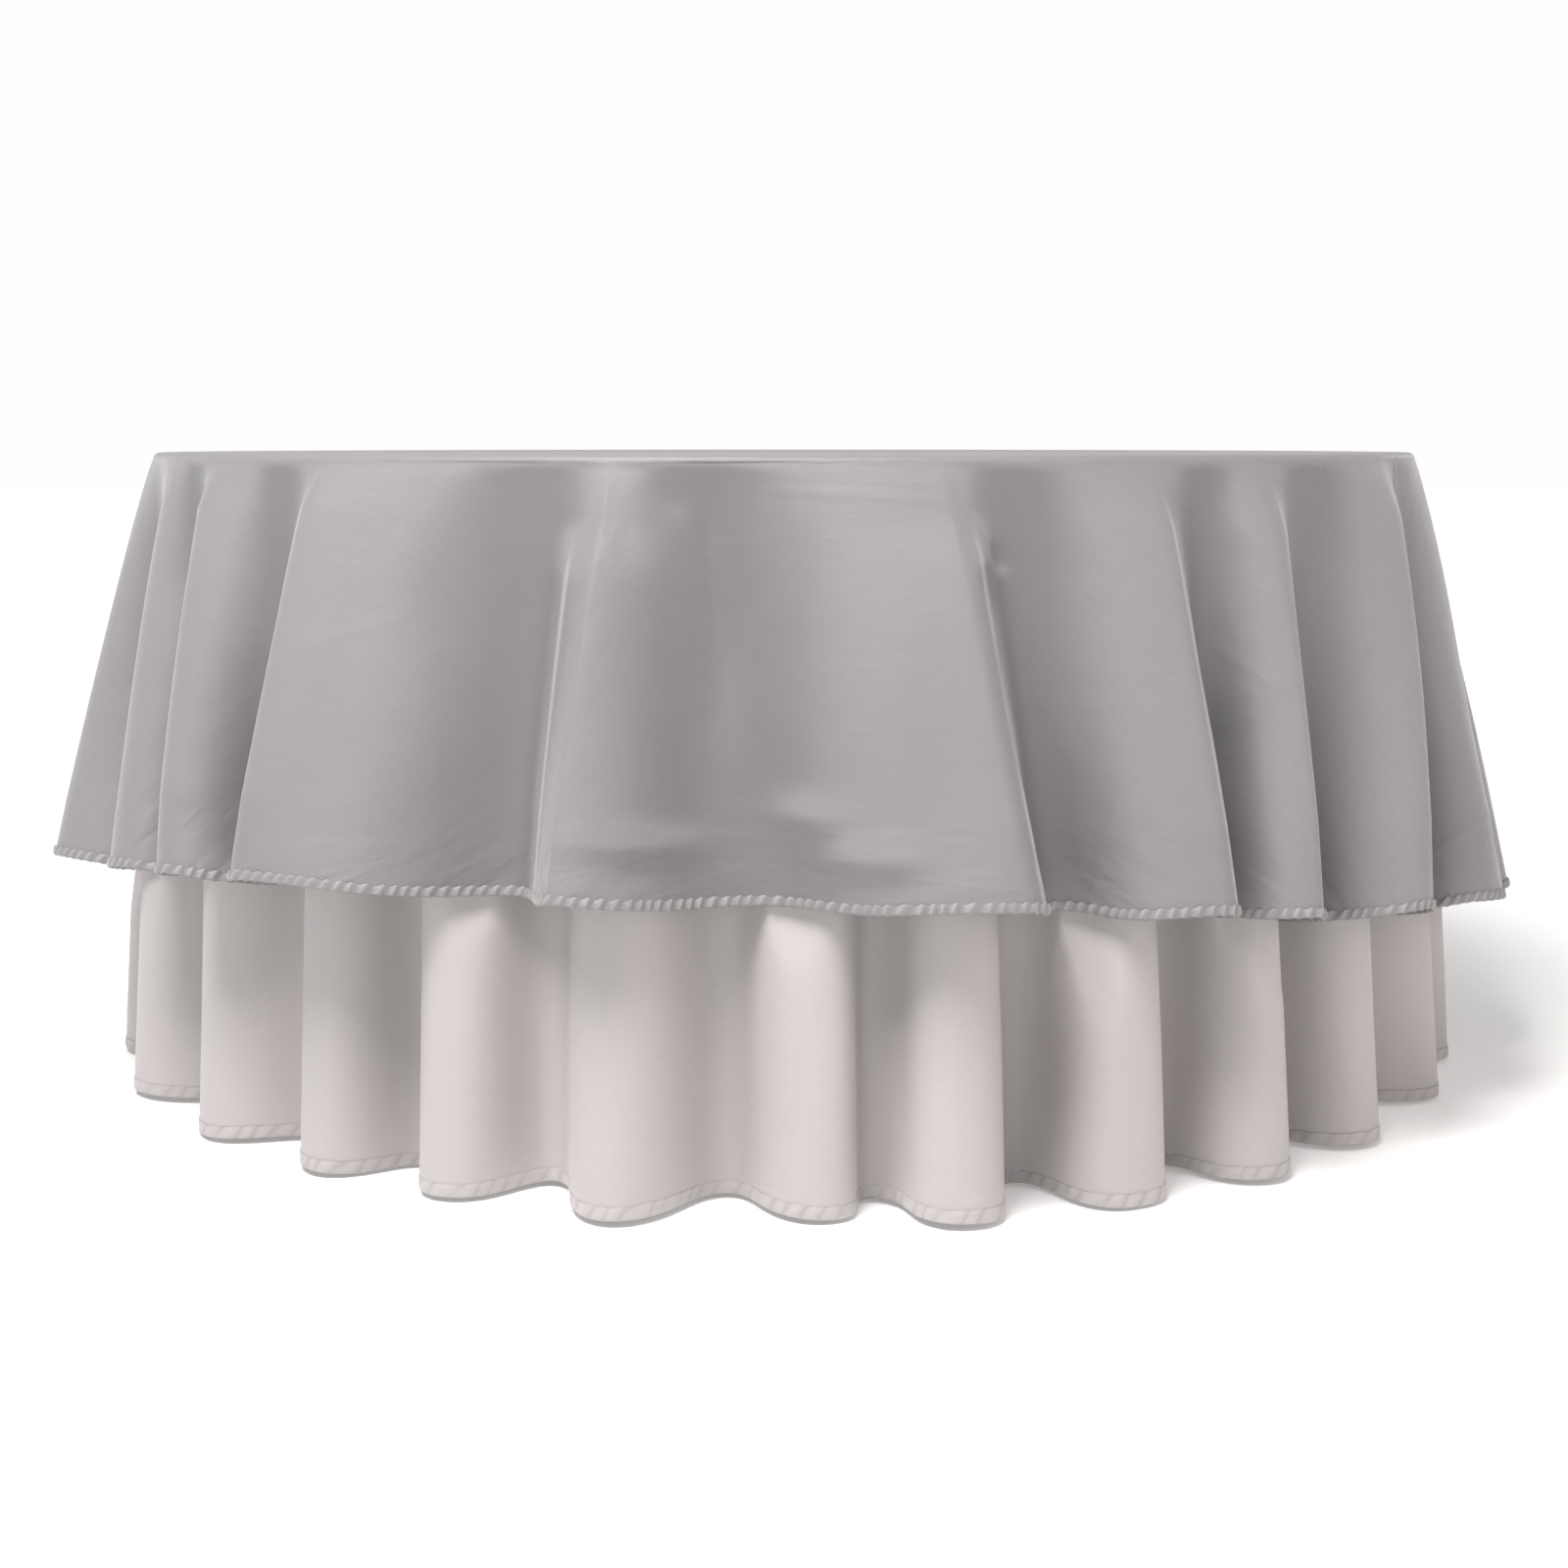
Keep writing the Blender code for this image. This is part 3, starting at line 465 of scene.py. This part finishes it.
def cloth_sheet(name, rows, cloth_angle, falls, shares, edge, top, bend, shift):
    """One sheet of cloth: the flat round on the table, the bend over its edge, then the hanging rows."""
    around = rows.shape[1]
    points, flat = [], []
    outer = rows[0, :, 1]

    def ring(radius, angle, z):
        """A ring of points at this radius and height."""
        points.append(np.stack([radius * np.sin(angle), -radius * np.cos(angle), z], 1))

    for radius in (0.22, 0.44, 0.60, 0.69, 0.735, 0.755):
        ring(radius, cloth_angle, np.full(around, top))
        flat.append(np.full(around, radius))
    for step in (0.0, 18.0, 36.0, 54.0, 72.0):
        a = radians(step)
        radius = outer - bend + bend * sin(a)
        ring(radius, cloth_angle, np.full(around, top - bend * (1 - cos(a))))
        flat.append(np.full(around, edge - bend * (pi / 2 - a)))
    for row, share in zip(rows, shares):
        ring(row[:, 1], row[:, 0], row[:, 2])
        flat.append(edge + share * falls)
    grid = np.array(points)
    distance = np.array(flat)
    count = len(grid)
    vertices = np.concatenate([[[0, 0, top]], grid.reshape(-1, 3)])
    faces = [(0, 1 + k, 1 + (k + 1) % around) for k in range(around)]
    for i in range(count - 1):
        for k in range(around):
            a, b = 1 + i * around + k, 1 + i * around + (k + 1) % around
            faces.append((a, a + around, b + around, b))
    mesh = bpy.data.meshes.new(name)
    mesh.from_pydata(vertices.tolist(), [], faces)
    u = np.concatenate([[0], (distance * np.sin(cloth_angle)).ravel()]) - shift[0]
    v = np.concatenate([[0], (-distance * np.cos(cloth_angle)).ravel()]) - shift[1]
    corners = np.empty(len(mesh.loops), np.int32)
    mesh.loops.foreach_get("vertex_index", corners)
    layer = mesh.uv_layers.new(name="cloth")
    layer.data.foreach_set("uv", np.stack([u[corners], v[corners]], 1).astype(np.float32).ravel())
    from_hem = np.concatenate([[9], (edge + falls[None, :] - distance).ravel()])
    keep_value(mesh, "from_hem", from_hem)
    # How far out the cloth runs as it falls. The satin's colour is darkened from this where the cloth hangs
    # straight down: painted shade in its hollows, since ridges catch the light from above and hollows don't.
    runs = np.full((count, around), 0.3)
    fall = np.maximum(rows[:-2, :, 2] - rows[2:, :, 2], 0.004)
    runs[count - len(rows) + 1:-1] = (rows[2:, :, 1] - rows[:-2, :, 1]) / fall
    runs[-1], runs[count - len(rows)] = runs[-2], 0.2
    runs = np.concatenate([[0.3], np.clip(runs, -1, 1).ravel()])
    keep_value(mesh, "runs_out", runs)
    made = bpy.data.objects.new(name, mesh)
    bpy.context.scene.collection.objects.link(made)
    mesh.shade_smooth()
    return made


def apply_all(piece):
    """Applies a piece's modifiers."""
    bpy.ops.object.select_all(action="DESELECT")
    bpy.context.view_layer.objects.active = piece
    piece.select_set(True)
    for modifier in list(piece.modifiers):
        bpy.ops.object.modifier_apply(modifier=modifier.name)
    piece.select_set(False)


def give_thickness(piece):
    """The cloth's own thickness, inside the shaped surface."""
    wall = piece.modifiers.new("thickness", "SOLIDIFY")
    wall.thickness = CLOTH_THICKNESS
    wall.offset = -1
    apply_all(piece)


def hem_strip(name, rows, high, thick, pucker, pitch, seed):
    """A narrow rolled hem round the lowest row: a flattened tube with slanting puckers."""
    angle, radius, z = rows[-2:, :, 0], rows[-2:, :, 1], rows[-2:, :, 2]
    above, low = np.stack([radius * np.sin(angle), -radius * np.cos(angle), z], 2)

    def twice(p):
        """A smooth closed line through these points, with twice as many."""
        before, after, later = np.roll(p, 1, 0), np.roll(p, -1, 0), np.roll(p, -2, 0)
        halfway = (9 * (p + after) - before - later) / 16
        return np.stack([p, halfway], 1).reshape(-1, 3)

    low, above = twice(twice(low)), twice(twice(above))
    down = low - above
    down /= np.linalg.norm(down, axis=1)[:, None]
    forward = np.roll(low, -1, 0) - np.roll(low, 1, 0)
    forward /= np.linalg.norm(forward, axis=1)[:, None]
    out = np.cross(forward, -down)
    out /= np.linalg.norm(out, axis=1)[:, None]
    along = np.concatenate([[0], np.cumsum(np.linalg.norm(np.diff(low, axis=0), axis=1))])
    length = along[-1] + np.linalg.norm(low[0] - low[-1])
    turns = round(length / pitch)
    phase = 2 * pi * turns * along / length
    slow = waves(phase / turns, 0 * phase, seed, 7, 20, 160)
    sides = 12
    rings, puffed, around = [], [], len(low)
    for s in range(sides):
        a = 2 * pi * s / sides
        twist = np.sin(phase + 0.9 * cos(a) * 2 + 1.3 * slow)
        half_thick = thick / 2 * (1 + 0.30 * pucker * twist)
        rise = high / 2 * (1 - np.sign(cos(a)) * abs(cos(a)) ** 0.55)
        push = np.sign(sin(a)) * abs(sin(a)) ** 0.7
        rise = rise + 0.0009 * pucker * twist * abs(cos(a))
        puffed.append(twist)
        aside = push * half_thick - CLOTH_THICKNESS / 2 + 0.0007 * pucker * twist
        rings.append(low - down * rise[:, None] + out * aside[:, None])
    grid = np.array(rings)
    faces = []
    for s in range(sides):
        for k in range(around):
            a, b = s * around + k, s * around + (k + 1) % around
            c, d = ((s + 1) % sides) * around + (k + 1) % around, ((s + 1) % sides) * around + k
            faces.append((a, b, c, d))
    mesh = bpy.data.meshes.new(name)
    mesh.from_pydata(grid.reshape(-1, 3).tolist(), [], faces)
    # Along the hem, and up from its lower edge, in metres.
    u, v = [], []
    for s in range(sides):
        for k in range(around):
            end = along[k + 1] if k + 1 < around else length
            u += [along[k], end, end, along[k]]
            v += [s, s, s + 1, s + 1]
    layer = mesh.uv_layers.new(name="cloth")
    pairs = np.stack([np.array(u), np.array(v) * high / (sides / 2)], 1)
    layer.data.foreach_set("uv", pairs.astype(np.float32).ravel())
    keep_value(mesh, "puffed", np.array(puffed).ravel())
    mesh.validate()
    bodily = sum(f.center.dot(f.normal) * f.area for f in mesh.polygons)
    if bodily < 0:
        mesh.flip_normals()
    made = bpy.data.objects.new(name, mesh)
    bpy.context.scene.collection.objects.link(made)
    mesh.shade_smooth()
    return made


# Plain weave with slight slubs, soft crumples and the creases that packing left, from the cloth's
# own flat plan.
weave, given, result = new_group(
    "woven cloth",
    [("Flat plan", "vector", None), ("Tint", "colour", (0.5, 0.5, 0.5, 1)),
     ("Shade", "colour", (0.45, 0.45, 0.45, 1)), ("Yarns", "value", 900.0), ("Crumple", "value", 0.0004),
     ("Packing", "value", 0.0002), ("Gloss", "value", 0.5), ("From hem", "value", 1.0)],
    [("Colour", "colour"), ("Roughness", "value"), ("Height", "value")],
)
plan = given["Flat plan"]
split = feed(weave, put(weave, "ShaderNodeSeparateXYZ"), Vector=plan).outputs


def yarn(axis):
    """Height of the yarns that lie across one axis."""
    return math(weave, "SINE", math(weave, "MULTIPLY", math(weave, "MULTIPLY", axis, given["Yarns"]), 2 * pi))


cells = math(weave, "MULTIPLY", yarn(split[0]), yarn(split[1]))
slubs = noise(weave, stretched(weave, plan, (40, 700, 1)), 1.0, 2.0)
cloudy = noise(weave, plan, 3.5, 3.0)
soft = noise(weave, plan, 14.0, 3.0, 0.55, 0.6)
drag = noise(weave, stretched(weave, plan, (9, 34, 1), (0, 0, 0.6)), 1.0, 2.0, 0.5, 0.4)


def packing_line(axis, spacing):
    """A faint sharp ridge where the folded cloth was pressed in its packet."""
    cell = math(weave, "ABSOLUTE", math(weave, "SUBTRACT", math(weave, "FRACT", math(
        weave, "MULTIPLY_ADD", axis, 1 / spacing, 0.37)), 0.5))
    return remapped(weave, cell, 0.0, 0.010 / spacing, 1.0, 0.0)


pressed = math(weave, "ADD", packing_line(split[0], 0.36), packing_line(split[1], 0.46))
patchy = remapped(weave, noise(weave, plan, 2.2, 1.0), 0.42, 0.68)
near_hem = remapped(weave, given["From hem"], 0.0, 0.13, 1.0, 0.0)
height = math(weave, "MULTIPLY", soft, given["Crumple"])
height = math(weave, "MULTIPLY_ADD", math(weave, "MULTIPLY", drag, near_hem), math(
    weave, "MULTIPLY", given["Crumple"], 3.0), height)
height = math(weave, "MULTIPLY_ADD", math(weave, "MULTIPLY", pressed, patchy), given["Packing"], height)
height = math(weave, "MULTIPLY_ADD", cells, 0.000025, height)
height = math(weave, "MULTIPLY_ADD", slubs, 0.00003, height)
shade = math(weave, "MULTIPLY_ADD", slubs, 0.5, math(weave, "MULTIPLY", cloudy, 0.5))
feed(weave, result, Colour=mixed(weave, remapped(weave, shade, 0.35, 0.65), given["Tint"], given["Shade"]))
feed(weave, result, Roughness=math(weave, "MULTIPLY_ADD", slubs, 0.1, given["Gloss"]))
feed(weave, result, Height=height)

# A row of machine stitches along a hem, one dash after another.
stitching, given, result = new_group(
    "stitching",
    [("Hem plan", "vector", None), ("Line", "value", 0.009), ("Pitch", "value", 0.003)],
    [("Mask", "value")],
)
split = feed(stitching, put(stitching, "ShaderNodeSeparateXYZ"), Vector=given["Hem plan"]).outputs
dash = math(stitching, "FRACT", math(stitching, "DIVIDE", split[0], given["Pitch"]))
dash = math(stitching, "SUBTRACT", dash, 0.5)
on_dash = remapped(stitching, math(stitching, "ABSOLUTE", dash), 0.30, 0.42, 1.0, 0.0)
off_line = math(stitching, "ABSOLUTE", math(stitching, "SUBTRACT", split[1], given["Line"]))
feed(stitching, result, Mask=math(stitching, "MULTIPLY", on_dash, remapped(
    stitching, off_line, 0.0003, 0.0008, 1.0, 0.0)))


# A painted highlight: the thin bright line where the satin turns sharply along a fold's rim, and painted
# shade just past it.
painted_rim_line, given, result = new_group(
    "painted rim highlight and shade",
    [("Where", "vector", None), ("Table edge height", "value", 0.736), ("At edge", "value", 0.0),
     ("At hem", "value", 0.0), ("Side", "value", 1.0), ("Width", "value", 0.35), ("Starts", "value", 0.1)],
    [("Light", "value"), ("Dark", "value")],
)
split = feed(painted_rim_line, put(painted_rim_line, "ShaderNodeSeparateXYZ"), Vector=given["Where"]).outputs
forward = math(painted_rim_line, "MULTIPLY", split[1], -1.0)
turned = math(painted_rim_line, "DEGREES", math(painted_rim_line, "ARCTAN2", split[0], forward))
fallen = math(painted_rim_line, "SUBTRACT", given["Table edge height"], split[2])
down = math(painted_rim_line, "DIVIDE", fallen, 0.46)
moved = math(painted_rim_line, "SUBTRACT", given["At hem"], given["At edge"])
line = math(painted_rim_line, "MULTIPLY_ADD", moved, down, given["At edge"])
off = math(painted_rim_line, "MULTIPLY", math(painted_rim_line, "SUBTRACT", turned, line), given["Side"])
near = math(painted_rim_line, "ABSOLUTE", math(painted_rim_line, "DIVIDE", off, given["Width"]))
shown = remapped(painted_rim_line, down, given["Starts"], math(painted_rim_line, "ADD", given["Starts"], 0.15))
broken = remapped(painted_rim_line, noise(painted_rim_line, given["Where"], 6.0, 2.0), 0.30, 0.60, 0.35, 1.0)
feed(painted_rim_line, result, Light=math(painted_rim_line, "MULTIPLY", shown, math(
    painted_rim_line, "MULTIPLY", broken, remapped(painted_rim_line, near, 0.0, 1.0, 1.0, 0.0))))
past = math(painted_rim_line, "MULTIPLY", remapped(painted_rim_line, off, 0.2, 0.8),
            remapped(painted_rim_line, off, 1.0, 3.2, 1.0, 0.0))
feed(painted_rim_line, result, Dark=math(painted_rim_line, "MULTIPLY", shown, past))


def darker(colour, share):
    """This share of a colour."""
    return tuple(share * c for c in colour[:3]) + (1,)


def cloth_finish(name, tint, shade, gloss, crumple, packing, yarns, hem_line=None, glint=0.0, rims=(),
                 **constants):
    """A cloth material; with hem_line it is the hem's, with its stitches and a painted highlight and painted
    shade on its puckers. With rims it is hung satin with painted shade in its hollows, and a painted
    highlight line along each fold's rim with painted shade just past it."""
    made, tree, shader, at = new_finish(name, **constants)

    def kept(value):
        """One of the values kept on the mesh."""
        return put(tree, "ShaderNodeAttribute", attribute_name=value).outputs["Fac"]

    placed = feed(tree, put(tree, "ShaderNodeGroup", node_tree=weave), Flat_plan=at["UV"], Tint=tint,
                  Shade=shade, Yarns=yarns, Crumple=crumple, Packing=packing, Gloss=gloss,
                  From_hem=0.02 if hem_line else kept("from_hem"))
    colour, height = placed.outputs["Colour"], placed.outputs["Height"]
    if rims:
        # Painted shade: the colour is darkened where the cloth hangs straight down, in its hollows.
        painted_hollow_shade = remapped(tree, kept("runs_out"), 0.02, 0.26, 0.46, 0.0)
        colour = mixed(tree, painted_hollow_shade, colour, darker(shade, 0.42))
    # Each fold's rim gets a painted highlight line mixed toward white and painted shade just past it.
    for at_edge, at_hem, side, _, first, _ in rims:
        rim = feed(tree, put(tree, "ShaderNodeGroup", node_tree=painted_rim_line), Where=at["Object"],
                   At_edge=at_edge, At_hem=at_hem, Side=side, Starts=first).outputs
        colour = mixed(tree, math(tree, "MULTIPLY", rim["Dark"], 0.30), colour, darker(shade, 0.5))
        colour = mixed(tree, math(tree, "MULTIPLY", rim["Light"], 0.17), colour, (1, 1, 1, 1))
    if hem_line:
        stitches = feed(tree, put(tree, "ShaderNodeGroup", node_tree=stitching), Hem_plan=at["UV"],
                        Line=hem_line, Pitch=0.0031).outputs[0]
        colour = mixed(tree, math(tree, "MULTIPLY", stitches, 0.5), colour, darker(shade, 0.8))
        height = math(tree, "MULTIPLY_ADD", stitches, -0.0004, height)
        # Painted highlight on the puffed side of each pucker, up to glint, and painted shade in its dips.
        painted_pucker_light_and_shade = math(tree, "MULTIPLY", kept("puffed"), noise(tree, at["Object"], 25.0, 2.0))
        colour = mixed(tree, remapped(tree, painted_pucker_light_and_shade, 0.1, 0.6, 0.0, glint), colour, (1, 1, 1, 1))
        colour = mixed(tree, remapped(tree, painted_pucker_light_and_shade, -0.6, -0.1, 0.3, 0.0), colour, darker(shade, 0.5))
    bump = feed(tree, put(tree, "ShaderNodeBump"), Strength=1.0, Distance=1.0, Height=height)
    feed(tree, shader, Base_Color=colour, Roughness=placed.outputs["Roughness"],
         Normal=bump.outputs[0])
    return made


WHITE, WHITE_SHADE = (0.435, 0.407, 0.409, 1), (0.415, 0.387, 0.389, 1)
under = cloth_sheet("undercloth", under_rows, under_angle, under_falls, UNDER_SHARES, UNDER_EDGE, UNDER_TOP,
                    0.006, (0, 0))
give_thickness(under)
under.data.materials.append(cloth_finish(
    "white polyester", WHITE, WHITE_SHADE, 0.62, 0.0005, 0.00015, 900.0, Sheen_Weight=0.15,
    Sheen_Roughness=0.5))
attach(under, "underlay")
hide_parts("underlay_cloth")

under_hem = hem_strip("undercloth_hem", under_rows, 0.014, 0.0024, 0.25, 0.021, 21)
under_hem.data.materials.append(cloth_finish(
    "white polyester hem", WHITE, WHITE_SHADE, 0.62, 0.0003, 0.0, 900.0, 0.0115, 0.02, Sheen_Weight=0.15,
    Sheen_Roughness=0.5))
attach(under_hem, "underlay")
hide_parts("underlay_hem")


# ---------------------------------------------------------------------------
# The silver-grey overlay: a 100 in round of polyester satin laid over the white cloth, a little
# off centre, so that it hangs lower at the back. Its own folds stand out over the folds below.

cover = cloth_sheet("overlay", cover_rows, cover_angle, cover_falls, COVER_SHARES, COVER_EDGE, COVER_TOP,
                    0.008, COVER_SHIFT)
give_thickness(cover)
SILVER, SILVER_SHADE = (0.240, 0.231, 0.233, 1), (0.222, 0.213, 0.215, 1)
cover.data.materials.append(cloth_finish(
    "silver satin", SILVER, SILVER_SHADE, 0.46, 0.0020, 0.0008, 1000.0, rims=COVER_RIMS, Sheen_Weight=0.3,
    Sheen_Roughness=0.35))
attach(cover, "overlay")
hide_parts("overlay_cloth")

cover_hem = hem_strip("overlay_rolled_hem", cover_rows, 0.010, 0.0040, 1.0, 0.013, 31)
cover_hem.data.materials.append(cloth_finish(
    "silver satin hem", SILVER, SILVER_SHADE, 0.46, 0.0003, 0.0, 1000.0, 0.009, 0.11, Sheen_Weight=0.3,
    Sheen_Roughness=0.35))
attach(cover_hem, "overlay")
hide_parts("overlay_hem")


# ---------------------------------------------------------------------------
# The studio: a wide pale floor that glows of itself, more strongly towards its far edge, under an even
# surround that is brightest near the horizon, with a large soft light overhead and a weak warm one at the
# right.
bpy.ops.mesh.primitive_circle_add(vertices=128, radius=40, fill_type="NGON", location=(0, 0, 0))
floor = bpy.context.object
floor.name = "floor"
backdrop, tree, shader, at = new_finish("pale floor", Roughness=0.8, Emission_Color=(1, 1, 1, 1))
far = feed(tree, put(tree, "ShaderNodeVectorMath", operation="LENGTH"), _0=at["Object"]).outputs[1]
feed(tree, shader, Emission_Strength=remapped(tree, far, 1.6, 6.0, 0.26, 0.70), Base_Color=mixed(
    tree, noise(tree, at["Object"], 0.6, 2.0), (0.90, 0.90, 0.90, 1), (0.92, 0.92, 0.92, 1)))
floor.data.materials.append(backdrop)


def area_light(name, place, target, size, power, colour):
    """A square soft light aimed at a point."""
    lamp = bpy.data.lights.new(name, "AREA")
    lamp.size = size
    lamp.energy = power
    lamp.color = colour
    made = bpy.data.objects.new(name, lamp)
    made.location = place
    made.rotation_euler = (Vector(target) - Vector(place)).to_track_quat("-Z", "Y").to_euler()
    bpy.context.scene.collection.objects.link(made)


area_light("key", (-1.2, -2.5, 4.5), (0, 0, 0.35), 2.0, 320, (1.0, 0.985, 0.97))
area_light("warm fill", (3.6, -2.0, 1.7), (0, 0, 0.4), 2.0, 26, (1.0, 0.88, 0.82))
world = bpy.data.worlds.new("surround")
bpy.context.scene.world = world
world.use_nodes = True
sky = world.node_tree
direction = put(sky, "ShaderNodeTexCoord").outputs["Generated"]
upward = feed(sky, put(sky, "ShaderNodeSeparateXYZ"), Vector=direction).outputs[2]
feed(sky, sky.nodes["Background"], Color=(1.0, 0.99, 0.985, 1),
     Strength=remapped(sky, upward, 0.17, 0.30, 1.0, 0.32))
bpy.context.scene.view_settings.view_transform = "Standard"
